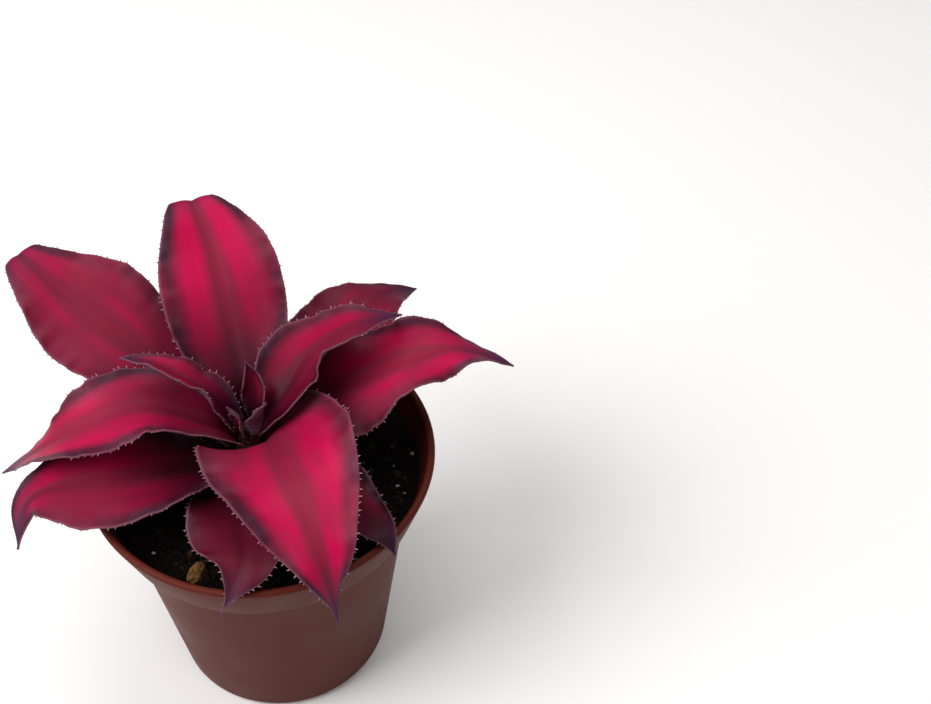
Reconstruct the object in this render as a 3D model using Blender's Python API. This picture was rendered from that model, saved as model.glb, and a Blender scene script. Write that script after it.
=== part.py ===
"""Earth star bromeliad in its nursery pot, as separate solids.

The plant is a flat rosette: a short stem in the soil, broad waved leaves with small teeth round the outside, and
a few small leaves that still unfurl in the middle. All sizes are in millimetres and are scaled to metres when a
mesh is made. The origin is the middle of the pot's underside, +Z is up.
"""

import math
import random
from dataclasses import dataclass

import bmesh
import bpy
from mathutils import Vector

MM = 0.001
GAP = 0.3  # room between pieces that rest on each other

# Pot: a moulded pot of 102 mm across the rim
POT_SIDES = 48
RIM_RADIUS = 51.0
RIM_INNER_RADIUS = 48.7
POT_HEIGHT = 88.0
BAND_HEIGHT = 17.3
BAND_LOW_RADIUS = 46.1
BODY_TOP_RADIUS = 42.8
BODY_FOOT_RADIUS = 33.3
FOOT_FILLET = 3.8
POT_WALL = 1.5
LIP_RADIUS = 1.15
STEP_HEIGHT = 1.2
DRAIN_HOLES = 8
DRAIN_RADIUS = 3.2
DRAIN_CIRCLE = 23.0
DRAIN_SIDES = 12
FOOT_FLARE = 0.5  # how far the body's rounded foot stands out from its wall line

# Soil
SOIL_TOP = 79.0
SOIL_RELIEF = 0.9
SOIL_RINGS = 9
STEM_HOLE_DEPTH = 16.0
SOIL_SEED = 7

# Stem: a short cone that the leaves grow from
STEM_X = -3.0
STEM_Y = 1.0
STEM_FOOT_RADIUS = 6.4
STEM_TOP_RADIUS = 2.4
STEM_TOP = 97.8
STEM_CHAMFER = 1.0
STEM_SIDES = 16

# Leaf blades
RIB_THICKNESS = 1.5
EDGE_THICKNESS = 0.75
TOOTH_LENGTH = 1.2
TOOTH_LEAN = 0.7
TOOTH_SHARE = 0.45  # longest tooth, as a share of the row that it stands on
TOOTH_BLUNT = 0.9  # thickness of a tooth's tip, as a share of the edge's
RIB_FALL = 1.5  # how fast the blade thins from its rib to its edge
TIP_HALF_WIDTH = 0.45
STEPS_PER_ROW = 6

# Looks: base colour (linear) and roughness
POT_LOOK = (0.115, 0.036, 0.024), 0.45
SOIL_LOOK = (0.012, 0.008, 0.007), 0.95
STEM_LOOK = (0.06, 0.03, 0.02), 0.8
LEAF_LOOK = (0.28, 0.01, 0.06), 0.4
CUTTER_LOOK = (0.5, 0.5, 0.5), 0.5
SHARP_ANGLE = 40.0


@dataclass(frozen=True)
class Leaf:
    """One leaf of the rosette.

    height: where it leaves the stem, above the pot's underside (mm)
    rib: points (x, y, z) that its middle rib passes after it leaves the stem, evenly spread (mm)
    width: across the widest place (mm)
    roll: tilt of the blade about its rib at even steps, left edge up is positive (degrees)
    cup: half of the angle that the blade's cross arc spans at even steps, edges up is positive (degrees)
    wave: height of the edge waves (mm), their number, and the start of the left and of the right edge's (degrees)
    widest: share of the length where the blade is widest
    point: how drawn out the tip is, 1 is plain and more is longer
    taper: how long the blade stays wide before it narrows to its tip
    shoulder: how slowly the blade widens from its base, under 1 is a broad shoulder
    crease: how deep the blade is folded along its rib near the tip (mm)
    base_width: across the end that meets the stem (mm)
    rows, columns: how many strips the blade is made of along and across
    """

    name: str
    height: float
    rib: tuple
    width: float
    roll: tuple
    cup: tuple
    wave: tuple
    widest: float = 0.42
    point: float = 1.2
    taper: float = 1.9
    shoulder: float = 1.15
    crease: float = 0.0
    base_width: float = 9.0
    rows: int = 19
    columns: int = 6


LEAVES = (
    Leaf("leaf_rear_low", 81.6, ((-19, 18, 88), (-33, 34, 92), (-46, 50, 92), (-56, 62, 84)), 31,
         (0, 0, 0), (40, 14, 6), (1.8, 3, 20, 200), base_width=7.0),
    Leaf("leaf_back_low", 83.0, ((8, 24, 88), (19, 42, 93), (31, 58, 95), (43, 70, 88)), 34,
         (0, 0, 0), (40, 14, 6), (1.8, 3, 90, 300), base_width=7.0),
    Leaf("leaf_right_low", 81.6, ((14, -9, 86), (27, -22, 90), (37, -31, 91), (41, -37, 88)), 23,
         (0, 0, 0), (40, 16, 10), (1.4, 2.5, 0, 150)),
    Leaf("leaf_front_low", 84.5, ((-3, -18, 91), (-0.5, -33, 94), (0.5, -46, 93), (-5.5, -55, 84)), 31,
         (8, 4, 0), (40, 14, 10), (1.8, 2.2, 0, 140), widest=0.50, point=2.4),
    Leaf("leaf_left_low", 86.2, ((-21, -11, 92), (-38, -17, 95), (-53, -18, 93), (-64, -21, 88), (-66, -31, 80)), 39,
         (8, 0, 0), (40, 16, 10), (2.0, 1.6, 290, 100), widest=0.40, point=1.6),
    Leaf("leaf_upper_left", 87.2, ((-23, 15, 95), (-39, 25, 105), (-57, 34, 116), (-73, 43, 125), (-75, 50, 112)), 37,
         (0, -9, -4), (40, 18, 6, -30), (1.6, 3, 36, 180), widest=0.55, point=2.0, crease=1.2),
    Leaf("leaf_right", 88.6, ((12, 9, 96), (26, 13, 103), (42, 18, 108), (57, 24, 107), (74, 26, 98)), 36,
         (12, 4, 0), (14, 16, 14), (3.4, 3, 90, 220), widest=0.32, point=1.4),
    Leaf("leaf_top", 90.0, ((-7, 17, 102), (-11, 31, 114), (-16, 45, 126), (-23, 59, 134), (-25, 67, 120)), 36,
         (0, 0, 0), (40, 18, 6, -30), (1.6, 3, 0, 180), widest=0.45, point=2.0, taper=2.4, crease=2.0),
    Leaf("leaf_front", 91.2, ((5, -8, 101.5), (11, -23, 108), (17, -36, 107), (22.5, -47, 98), (26, -53, 78)), 45,
         (4, 5, 0), (42, 24, 10), (2.2, 3, 40, 280), widest=0.26, point=1.8, shoulder=0.7, base_width=15.0),
    Leaf("leaf_left", 93.2, ((-13, -2, 102), (-30, -1, 108), (-45, -5, 105), (-61, -7, 96), (-76, -5, 82)), 28,
         (0, 0, 0), (46, 22, 10), (2.4, 1.9, 306, 60), widest=0.38, point=1.4, base_width=13.0),
    Leaf("leaf_inner_right", 94.8, ((6, 6, 103), (13, 16, 110), (23, 21, 116), (32, 23, 119), (41, 25, 120)), 26,
         (0, -14, -5), (60, 40, 20), (0.9, 3, 0, 180), base_width=10.0, rows=15),
    Leaf("leaf_inner_left", 96.4, ((-12, 4, 106), (-20, 5, 113), (-29, 7, 117), (-38, 8, 118)), 14,
         (0, 20, 10), (30, 45, 30), (0.6, 3, 0, 180), base_width=6.0, rows=15, widest=0.42),
    Leaf("centre_leaf_a", 97.4, ((-1, 7, 106), (-3, 10, 115)), 8, (0, 0, 0), (16, 50, 30),
         (0.4, 2, 0, 180), base_width=3.2, rows=9, columns=4),
    Leaf("centre_leaf_b", 97.4, ((1, -2, 105), (4, -4, 113)), 7,
         (0, 0, 0), (16, 50, 30), (0.4, 2, 0, 180), base_width=3.2, rows=9, columns=4),
    Leaf("centre_leaf_c", 97.4, ((-5, -2, 105), (-7, -4, 111)), 5,
         (0, 0, 0), (16, 50, 30), (0.3, 2, 0, 180), base_width=3.2, rows=9, columns=4),
)


def clear_scene():
    """Removes the objects of the start-up scene."""
    for thing in list(bpy.data.objects):
        bpy.data.objects.remove(thing, do_unlink=True)


def along(values, share):
    """Value at a share of the way along a smooth curve through evenly spaced values."""
    last = len(values) - 1
    place = min(max(share, 0.0), 1.0) * last
    i = min(int(place), last - 1)
    t = place - i
    before, start, end, after = values[max(i - 1, 0)], values[i], values[i + 1], values[min(i + 2, last)]
    bend = 2 * before - 5 * start + 4 * end - after
    return start + 0.5 * t * (end - before + t * (bend + t * (3 * (start - end) + after - before)))


def stem_radius(height):
    """Radius of the stem's cone at a height above the pot's underside."""
    share = (height - SOIL_TOP) / (STEM_TOP - SOIL_TOP)
    return STEM_FOOT_RADIUS + (STEM_TOP_RADIUS - STEM_FOOT_RADIUS) * min(max(share, 0.0), 1.0)


def half_width(leaf, share):
    """Half of the blade's width at a share of its length."""
    start = leaf.base_width / leaf.width
    if share < leaf.widest:
        shape = start + (1 - start) * math.sin(0.5 * math.pi * share / leaf.widest) ** leaf.shoulder
    else:
        past = (share - leaf.widest) / (1 - leaf.widest)
        shape = (1 - past ** leaf.taper) ** leaf.point
    return max(0.5 * leaf.width * shape, TIP_HALF_WIDTH)


def base_point(leaf):
    """Middle of the leaf's base, just clear of the stem on the side that the leaf grows to."""
    away = Vector((leaf.rib[0][0] - STEM_X, leaf.rib[0][1] - STEM_Y, 0)).normalized()
    reach = stem_radius(leaf.height) + GAP + 0.5 * RIB_THICKNESS
    return Vector((STEM_X, STEM_Y, leaf.height)) + away * reach


def rib_points(leaf):
    """Points of the rib, one for each row, evenly spaced, from the base at the origin."""
    base = base_point(leaf)
    knots = [Vector((0, 0, 0))] + [Vector(knot) - base for knot in leaf.rib]
    count = leaf.rows * STEPS_PER_ROW
    fine = [Vector([along([knot[axis] for knot in knots], k / count) for axis in range(3)])
            for k in range(count + 1)]
    reach = [0.0]
    for start, end in zip(fine, fine[1:]):
        reach.append(reach[-1] + (end - start).length)
    points, k = [], 0
    for row in range(leaf.rows + 1):
        target = reach[-1] * row / leaf.rows
        while k < count - 1 and reach[k + 1] < target:
            k += 1
        points.append(fine[k].lerp(fine[k + 1], (target - reach[k]) / (reach[k + 1] - reach[k])))
    return points


def rib_frames(leaf):
    """Point, left and up of the blade at each row, in the leaf's own frame.

    The blade stays level across its rib, less so where the rib is steep, and keeps its side where the tip curls
    under.
    """
    points = rib_points(leaf)
    frames = []
    left = None
    for row, point in enumerate(points):
        forward = (points[min(row + 1, leaf.rows)] - points[max(row - 1, 0)]).normalized()
        level = Vector((0, 0, 1)).cross(forward)
        if left is None:
            left = level.normalized()
        if level.dot(left) < 0:
            level = -level
        left = left * (1 - level.length) + level
        left = (left - forward * left.dot(forward)).normalized()
        roll = math.radians(along(leaf.roll, row / leaf.rows))
        tilted = left * math.cos(roll) + forward.cross(left) * math.sin(roll)
        frames.append((point, tilted, forward.cross(tilted)))
    return frames


def blade_point(leaf, frame, share, across):
    """Middle-surface point and upward normal of the blade, where across runs from -1 (right) to 1 (left)."""
    point, left, up = frame
    half = half_width(leaf, share)
    bend = math.radians(along(leaf.cup, share)) or 1e-4
    lift, waves, left_start, right_start = leaf.wave
    start = math.radians(left_start if across > 0 else right_start)
    fade = (1 - share ** 4) * (1 - (1 - share) ** 6)
    ripple = lift * fade * across * across * math.sin(2 * math.pi * waves * share + start)
    ripple -= leaf.crease * share ** 2 * (1 - share ** 6) * (1 - abs(across)) ** 2
    place = point + left * (half * math.sin(bend * across) / bend)
    place = place + up * (half * (1 - math.cos(bend * across)) / bend + ripple)
    normal = up * math.cos(bend * across) - left * math.sin(bend * across)
    return place, normal


def blade_rows(leaf):
    """Rows of (point, normal) over the blade, base first and right edge first."""
    rows = []
    for i, frame in enumerate(rib_frames(leaf)):
        share = i / leaf.rows
        spread = [2 * j / leaf.columns - 1 for j in range(leaf.columns + 1)]
        rows.append([blade_point(leaf, frame, share, across) for across in spread])
    return rows


def blade_mesh(leaf):
    """Closed mesh of one leaf: two faces alike, toothed edges and small ends."""
    mesh = bmesh.new()
    rows = blade_rows(leaf)
    top, low = [], []
    for i, row in enumerate(rows):
        share = i / leaf.rows
        rib = RIB_THICKNESS + (EDGE_THICKNESS - RIB_THICKNESS) * share
        for layer, side in ((top, 1), (low, -1)):
            line = []
            for j, (place, normal) in enumerate(row):
                across = abs(2 * j / leaf.columns - 1)
                thick = EDGE_THICKNESS + (rib - EDGE_THICKNESS) * (1 - across) ** RIB_FALL
                line.append(mesh.verts.new((place + normal * (side * 0.5 * thick)) * MM))
            layer.append(line)
    last = leaf.columns
    for i in range(leaf.rows):
        for j in range(leaf.columns):
            a, b, c, d = (i, j), (i + 1, j), (i + 1, j + 1), (i, j + 1)
            cuts = ((a, b, c), (a, c, d)) if (i + j) % 2 else ((a, b, d), (b, c, d))
            for cut in cuts:
                mesh.faces.new([top[r][k] for r, k in cut])
                mesh.faces.new([low[r][k] for r, k in reversed(cut)])
        for j, inward in ((0, 1), (last, last - 1)):
            edge_tooth(mesh, rows, top, low, i, j, inward)
    for i in (0, leaf.rows):
        for j in range(leaf.columns):
            end = [top[i][j], top[i][j + 1], low[i][j + 1], low[i][j]]
            mesh.faces.new(end if i == 0 else list(reversed(end)))
    bmesh.ops.recalc_face_normals(mesh, faces=mesh.faces)
    return mesh


def edge_tooth(mesh, rows, top, low, i, j, inward):
    """Side wall of one strip, drawn out to a tooth that leans to the leaf's tip."""
    here, after = rows[i][j][0], rows[i + 1][j][0]
    outward = (here + after - rows[i][inward][0] - rows[i + 1][inward][0]).normalized()
    forward = (after - here).normalized()
    normal = (rows[i][j][1] + rows[i + 1][j][1]).normalized()
    size = min(TOOTH_LENGTH, TOOTH_SHARE * (after - here).length)
    middle = (here + after) * 0.5 + outward * size + forward * (TOOTH_LEAN * size)
    half = 0.5 * TOOTH_BLUNT * EDGE_THICKNESS
    high = mesh.verts.new((middle + normal * half) * MM)
    under = mesh.verts.new((middle - normal * half) * MM)
    a, b, c, d = top[i][j], top[i + 1][j], low[i + 1][j], low[i][j]
    for corners in ((a, b, high), (d, c, under), (a, high, under), (a, under, d), (b, high, under), (b, under, c)):
        mesh.faces.new(corners)


def inner_wall(clear):
    """Profile of the pot's inside from its mouth down to its floor, moved inwards by a clearance."""
    band_foot = POT_HEIGHT - BAND_HEIGHT
    return [
        (RIM_INNER_RADIUS - clear, POT_HEIGHT - LIP_RADIUS),
        (BAND_LOW_RADIUS - POT_WALL - clear, band_foot + STEP_HEIGHT + POT_WALL + clear),
        (BODY_TOP_RADIUS - POT_WALL - clear, band_foot + POT_WALL + clear),
        (BODY_FOOT_RADIUS - POT_WALL - clear, FOOT_FILLET),
        (BODY_FOOT_RADIUS - FOOT_FILLET - clear, POT_WALL + clear),
        (0.0, POT_WALL + clear),
    ]


def arc(centre, radius, start, end, steps):
    """Points (radius, height) on an arc, angles in degrees from outward."""
    angles = [math.radians(start + (end - start) * k / steps) for k in range(steps + 1)]
    return [(centre[0] + radius * math.cos(a), centre[1] + radius * math.sin(a)) for a in angles]


def pot_profile():
    """Profile of the pot from the middle of its underside, out, over the lip and down to its inner floor."""
    band_foot = POT_HEIGHT - BAND_HEIGHT
    points = [(0.0, 0.0)]
    points += arc((BODY_FOOT_RADIUS - FOOT_FILLET + FOOT_FLARE, FOOT_FILLET), FOOT_FILLET, -90, -8, 4)
    points += [(BODY_TOP_RADIUS, band_foot), (BAND_LOW_RADIUS, band_foot + STEP_HEIGHT)]
    points += arc((RIM_RADIUS - LIP_RADIUS, POT_HEIGHT - LIP_RADIUS), LIP_RADIUS, -10, 170, 6)
    return points + inner_wall(0.0)[1:]


def turned(profile, sides):
    """Closed mesh of a profile turned round the Z axis, which it starts and ends on."""
    mesh = bmesh.new()
    first = mesh.verts.new((0, 0, profile[0][1] * MM))
    final = mesh.verts.new((0, 0, profile[-1][1] * MM))
    rings = []
    for radius, height in profile[1:-1]:
        angles = [2 * math.pi * k / sides for k in range(sides)]
        rings.append([mesh.verts.new((radius * MM * math.cos(a), radius * MM * math.sin(a), height * MM))
                      for a in angles])
    for k in range(sides):
        m = (k + 1) % sides
        mesh.faces.new((first, rings[0][m], rings[0][k]))
        mesh.faces.new((final, rings[-1][k], rings[-1][m]))
        for inner, outer in zip(rings, rings[1:]):
            mesh.faces.new((inner[k], inner[m], outer[m], outer[k]))
    bmesh.ops.recalc_face_normals(mesh, faces=mesh.faces)
    return mesh, rings


def add_object(name, mesh, look, parent):
    """Object of a mesh with its own material, shaded smooth except at sharp edges."""
    colour, roughness = look
    data = bpy.data.meshes.new(name)
    mesh.to_mesh(data)
    mesh.free()
    material = bpy.data.materials.new(name)
    material.use_nodes = True
    shader = material.node_tree.nodes["Principled BSDF"]
    shader.inputs["Base Color"].default_value = (*colour, 1)
    shader.inputs["Roughness"].default_value = roughness
    shader.inputs["Metallic"].default_value = 0.0
    data.materials.append(material)
    data.shade_smooth()
    data.set_sharp_from_angle(angle=math.radians(SHARP_ANGLE))
    thing = bpy.data.objects.new(name, data)
    bpy.context.scene.collection.objects.link(thing)
    thing.parent = parent
    return thing


def add_cut(thing, cutter):
    """Cuts a hidden cutter out of an object."""
    cutter.hide_render = True
    cutter.display_type = "WIRE"
    cut = thing.modifiers.new(cutter.name, "BOOLEAN")
    cut.operation = "DIFFERENCE"
    cut.object = cutter


def make_pot(parent):
    """Pot turned from its profile, with drainage holes cut through its floor."""
    mesh, _ = turned(pot_profile(), POT_SIDES)
    pot = add_object("pot", mesh, POT_LOOK, parent)
    holes = bmesh.new()
    for k in range(DRAIN_HOLES):
        angle = 2 * math.pi * (k + 0.5) / DRAIN_HOLES
        made = bmesh.ops.create_cone(holes, cap_ends=True, segments=DRAIN_SIDES, radius1=DRAIN_RADIUS * MM,
                                     radius2=DRAIN_RADIUS * MM, depth=4 * POT_WALL * MM)
        shift = Vector((math.cos(angle), math.sin(angle), 0)) * (DRAIN_CIRCLE * MM)
        bmesh.ops.translate(holes, verts=made["verts"], vec=shift)
    cutter = add_object("drain_cutter", holes, CUTTER_LOOK, parent)
    add_cut(pot, cutter)


def make_soil(parent):
    """Soil that fills the pot, with a lumpy top and a plain hole for the stem."""
    wall = inner_wall(GAP)
    share = (SOIL_TOP - wall[1][1]) / (wall[0][1] - wall[1][1])
    edge = wall[1][0] + (wall[0][0] - wall[1][0]) * share
    profile = [(edge * k / SOIL_RINGS, SOIL_TOP) for k in range(SOIL_RINGS + 1)] + wall[1:]
    mesh, rings = turned(profile, POT_SIDES)
    draw = random.Random(SOIL_SEED)
    for ring in rings[2:SOIL_RINGS]:  # not round the stem's hole
        for vert in ring:
            vert.co.z += draw.uniform(-SOIL_RELIEF, SOIL_RELIEF) * MM
    soil = add_object("soil", mesh, SOIL_LOOK, parent)
    hole = bmesh.new()
    bmesh.ops.create_cone(hole, cap_ends=True, segments=STEM_SIDES, radius1=(STEM_FOOT_RADIUS + GAP) * MM,
                          radius2=(STEM_FOOT_RADIUS + GAP) * MM, depth=2 * STEM_HOLE_DEPTH * MM)
    cutter = add_object("stem_hole_cutter", hole, CUTTER_LOOK, parent)
    cutter.location = (STEM_X * MM, STEM_Y * MM, SOIL_TOP * MM)
    add_cut(soil, cutter)


def make_stem(parent):
    """Short cone that stands in the soil's hole."""
    foot = SOIL_TOP - STEM_HOLE_DEPTH + GAP
    profile = [(0.0, foot), (STEM_FOOT_RADIUS - STEM_CHAMFER, foot), (STEM_FOOT_RADIUS, foot + STEM_CHAMFER)]
    profile += [(STEM_FOOT_RADIUS, SOIL_TOP), (STEM_TOP_RADIUS, STEM_TOP), (0.0, STEM_TOP)]
    mesh, _ = turned(profile, STEM_SIDES)
    stem = add_object("stem", mesh, STEM_LOOK, parent)
    stem.location = (STEM_X * MM, STEM_Y * MM, 0)


def make_leaf(leaf, parent):
    """One leaf, placed at its base on the stem."""
    thing = add_object(leaf.name, blade_mesh(leaf), LEAF_LOOK, parent)
    thing.location = base_point(leaf) * MM


def main():
    clear_scene()
    plant = bpy.data.objects.new("earth_star", None)
    bpy.context.scene.collection.objects.link(plant)
    make_pot(plant)
    make_soil(plant)
    make_stem(plant)
    for leaf in LEAVES:
        make_leaf(leaf, plant)
    bpy.context.view_layer.update()


if __name__ == "__main__":
    main()
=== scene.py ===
"""Looks of a potted earth star bromeliad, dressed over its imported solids.

The leaves are waved blades with a creased rib, blurred crimson and purple-brown colours, silvery scurf and
small pale spines. The pot is moulded plastic, and the soil is peat with crumbs, bark and perlite. Sizes are
in millimetres until a mesh is made.
"""

from __future__ import annotations

import logging
import math
from collections.abc import Sequence
from dataclasses import dataclass
from enum import Enum
from functools import partial

import bmesh
import bpy
import numpy as np
from mathutils import Matrix, Vector, noise

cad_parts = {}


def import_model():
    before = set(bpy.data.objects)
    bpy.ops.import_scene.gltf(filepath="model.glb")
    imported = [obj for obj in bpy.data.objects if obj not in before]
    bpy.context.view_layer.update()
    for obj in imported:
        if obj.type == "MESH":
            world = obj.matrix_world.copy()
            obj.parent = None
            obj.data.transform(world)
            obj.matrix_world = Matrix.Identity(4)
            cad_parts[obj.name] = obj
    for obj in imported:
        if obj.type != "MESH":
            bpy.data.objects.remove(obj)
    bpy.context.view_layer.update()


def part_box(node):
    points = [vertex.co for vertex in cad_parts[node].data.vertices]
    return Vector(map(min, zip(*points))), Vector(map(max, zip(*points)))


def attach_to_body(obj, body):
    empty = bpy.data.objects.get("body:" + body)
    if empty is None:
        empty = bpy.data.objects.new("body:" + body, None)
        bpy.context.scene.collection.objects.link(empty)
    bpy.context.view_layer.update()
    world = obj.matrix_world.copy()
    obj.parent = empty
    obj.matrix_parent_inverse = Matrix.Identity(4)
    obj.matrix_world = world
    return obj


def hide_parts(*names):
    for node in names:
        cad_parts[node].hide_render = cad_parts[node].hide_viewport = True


log = logging.getLogger("earth_star")

MM = 0.001
BODY = "root"
Point = tuple[float, float]

# Height of the redder top of the pot's rim, painted as light shining through the thin lip (mm)
LIP_HEIGHT = 5

# Angle between faces from which a turned mesh keeps a sharp edge
SHARP_DEGREES = 38

# Sockets of the colour mix node, which has one set for each kind of data
MIX_FACTOR, MIX_A, MIX_B = 0, 6, 7


class Slot(Enum):
    """Material slots of the part's record."""

    LEAF = "leaf"
    POT = "pot_plastic"
    SOIL = "soil"
    STEM = "stem"


class Litter(Enum):
    """Kinds of loose bits on the soil."""

    CRUMB = "crumb"
    BARK = "bark"
    CHIP = "chip"
    PERLITE = "perlite"


def linear(hex_colour: str) -> tuple[float, float, float, float]:
    """Turns an sRGB hex colour into linear RGBA.

    Args:
        hex_colour: six hex digits, such as "B8164A".

    Returns:
        Red, green, blue and alpha for a colour socket.
    """
    parts = [int(hex_colour[k : k + 2], 16) / 255 for k in (0, 2, 4)]
    red, green, blue = (c / 12.92 if c <= 0.04045 else ((c + 0.055) / 1.055) ** 2.4 for c in parts)
    return red, green, blue, 1.0


def connect(tree: bpy.types.NodeTree, node: bpy.types.Node, inputs: dict) -> None:
    """Links or sets a node's inputs.

    Args:
        tree: the node tree that the node is in.
        node: the node.
        inputs: for each input's name or number, a socket, a node (its first output in use), a hex colour
            or another value.
    """
    for name, value in inputs.items():
        socket = node.inputs[name]
        if isinstance(value, bpy.types.Node):
            value = next(output for output in value.outputs if output.enabled)
        if isinstance(value, bpy.types.NodeSocket):
            tree.links.new(value, socket)
        elif socket.type == "RGBA" and isinstance(value, str):
            socket.default_value = linear(value)
        else:
            socket.default_value = value


def add_node(
    tree: bpy.types.NodeTree, kind: str, inputs: dict | None = None, **settings
) -> bpy.types.Node:
    """Adds a node with its settings and links.

    Args:
        tree: the node tree that gets the node.
        kind: Blender's name of the node type.
        inputs: what connect gives the node's inputs.
        settings: the node's own properties. stops gives a colour ramp's (place, hex colour or grey) pairs.

    Returns:
        The new node.
    """
    node = tree.nodes.new(kind)
    stops = settings.pop("stops", None)
    for name, value in settings.items():
        setattr(node, name, value)
    if stops:
        ramp = node.color_ramp
        while len(ramp.elements) < len(stops):
            ramp.elements.new(1.0)
        for element, (place, colour) in zip(ramp.elements, stops):
            element.position = place
            element.color = linear(colour) if isinstance(colour, str) else (colour, colour, colour, 1.0)
    connect(tree, node, inputs or {})
    return node


def shader_tree(
    name: str, **values: float
) -> tuple[bpy.types.Material, bpy.types.NodeTree, bpy.types.Node]:
    """Makes a material whose shader is one Principled BSDF.

    Args:
        name: the material's name.
        values: uniform values of the shader, with _ for a space and in lower case.

    Returns:
        The material, its node tree and the shader node.
    """
    material = bpy.data.materials.new(name)
    material.use_nodes = True
    tree = material.node_tree
    shader = tree.nodes["Principled BSDF"]
    names = {socket.name.lower().replace(" ", "_"): socket.name for socket in shader.inputs}
    for key, value in values.items():
        shader.inputs[names[key]].default_value = value
    return material, tree, shader


def catmull(values: Sequence, share: np.ndarray) -> np.ndarray:
    """Reads a smooth curve through evenly spaced values.

    Args:
        values: numbers or points, in order.
        share: places along the curve, from 0 to 1.

    Returns:
        One value, or one row, for each place.
    """
    knots = np.asarray(values, float)
    last = len(knots) - 1
    place = np.clip(share, 0, 1) * last
    i = np.minimum(place.astype(int), last - 1)
    t = place - i
    if knots.ndim > 1:
        t = t[:, None]
    before, start = knots[np.maximum(i - 1, 0)], knots[i]
    end, after = knots[i + 1], knots[np.minimum(i + 2, last)]
    bend = 2 * before - 5 * start + 4 * end - after
    return start + 0.5 * t * (end - before + t * (bend + t * (3 * (start - end) + after - before)))


def unit(rows: np.ndarray) -> np.ndarray:
    """Scales each row to length one."""
    return rows / np.maximum(np.linalg.norm(rows, axis=-1, keepdims=True), 1e-9)


def mesh_data(name: str, mesh: bmesh.types.BMesh) -> bpy.types.Mesh:
    """Turns a finished bmesh into mesh data and frees it."""
    data = bpy.data.meshes.new(name)
    mesh.to_mesh(data)
    mesh.free()
    return data


def mark(data: bpy.types.Mesh, **values: Sequence) -> None:
    """Writes attributes of a mesh's points.

    Args:
        data: the mesh.
        values: for each attribute's name, a number or a vector for each point.
    """
    for name, value in values.items():
        kind, key = ("FLOAT_VECTOR", "vector") if np.ndim(value) > 1 else ("FLOAT", "value")
        data.attributes.new(name, kind, "POINT").data.foreach_set(key, np.ravel(value))


def new_piece(
    name: str, data: bpy.types.Mesh, material: bpy.types.Material | None = None
) -> bpy.types.Object:
    """Puts a mesh into the scene as a piece at the origin.

    Args:
        name: the piece's name.
        data: its mesh, in metres.
        material: its finish, or None where it has one.

    Returns:
        The new object.
    """
    if material:
        data.materials.append(material)
    thing = bpy.data.objects.new(name, data)
    bpy.context.scene.collection.objects.link(thing)
    return thing


def applied(thing: bpy.types.Object) -> bpy.types.Object:
    """Replaces an object's mesh by its evaluated one and removes its modifiers.

    Args:
        thing: the object with modifiers.

    Returns:
        The same object.
    """
    bpy.context.view_layer.update()
    graph = bpy.context.evaluated_depsgraph_get()
    data = bpy.data.meshes.new_from_object(thing.evaluated_get(graph))
    old = thing.data
    thing.modifiers.clear()
    thing.data = data
    bpy.data.meshes.remove(old)
    return thing


def attach(piece: bpy.types.Object, slot: Slot, *nodes: str) -> None:
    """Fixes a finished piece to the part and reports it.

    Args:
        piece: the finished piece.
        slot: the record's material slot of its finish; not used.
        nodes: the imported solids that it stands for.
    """
    if nodes:
        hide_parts(*nodes)
    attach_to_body(piece, BODY)
    log.info("%s: %d faces, for %s", piece.name, len(piece.data.polygons), ", ".join(nodes) or "detail")


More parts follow.
